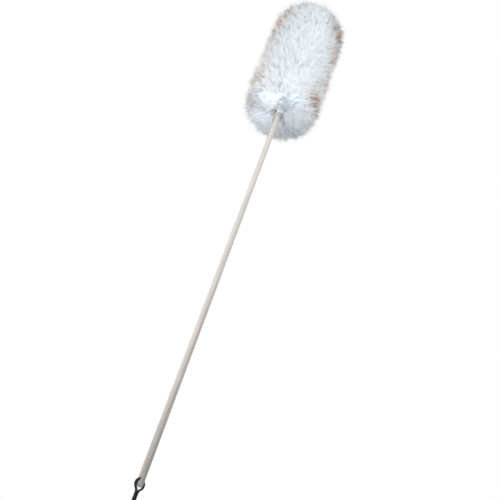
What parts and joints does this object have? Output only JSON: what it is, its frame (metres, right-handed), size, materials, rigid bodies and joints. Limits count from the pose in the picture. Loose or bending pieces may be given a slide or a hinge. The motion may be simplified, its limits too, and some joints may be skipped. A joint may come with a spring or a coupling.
{
  "type": "lambswool duster",
  "caption": "Long wooden handle with a cylindrical head of wound shearling wool, a pale collar and a black leather hanging thong.",
  "frame": {"origin": "on the handle's axis, in the middle of the stretch that a hand holds, 100 mm above the butt end", "axes": "+Z along the handle towards the wool head; X along the cross hole that holds the thong"},
  "size_m": [0.1998, 0.1998, 1.5037],
  "materials": {
    "handle_wood": "satin",
    "collar_plastic": "satin",
    "steel": "satin",
    "skin": "matte",
    "wool": "matte",
    "thong_leather": "gloss"
  },
  "bodies": {
    "duster": {"handle": "handle_wood", "collar": "collar_plastic", "collar_brad": "steel", "skin_strip": "skin", "lower_tacks": "steel", "upper_tacks": "steel", "crown_patch": "skin", "crown_nail": "steel", "wool_crown": "wool", "wool_turn_01": "wool", "wool_turn_02": "wool", "wool_turn_03": "wool", "wool_turn_04": "wool", "wool_turn_05": "wool", "wool_turn_06": "wool", "wool_turn_07": "wool", "wool_turn_08": "wool", "wool_turn_09": "wool", "wool_turn_10": "wool", "wool_turn_11": "wool", "wool_turn_12": "wool"},
    "thong": {"thong_hitch": "thong_leather", "thong_knot": "thong_leather", "thong_tails": "thong_leather", "thong_loop": "thong_leather"}
  },
  "joints": [
    {"name": "thong_swing", "type": "hinge", "parent": "duster", "child": "thong", "pos_m": [0, 0, -0.089], "axis": [1, 0, 0], "range_deg": [-140, 140]}
  ]
}
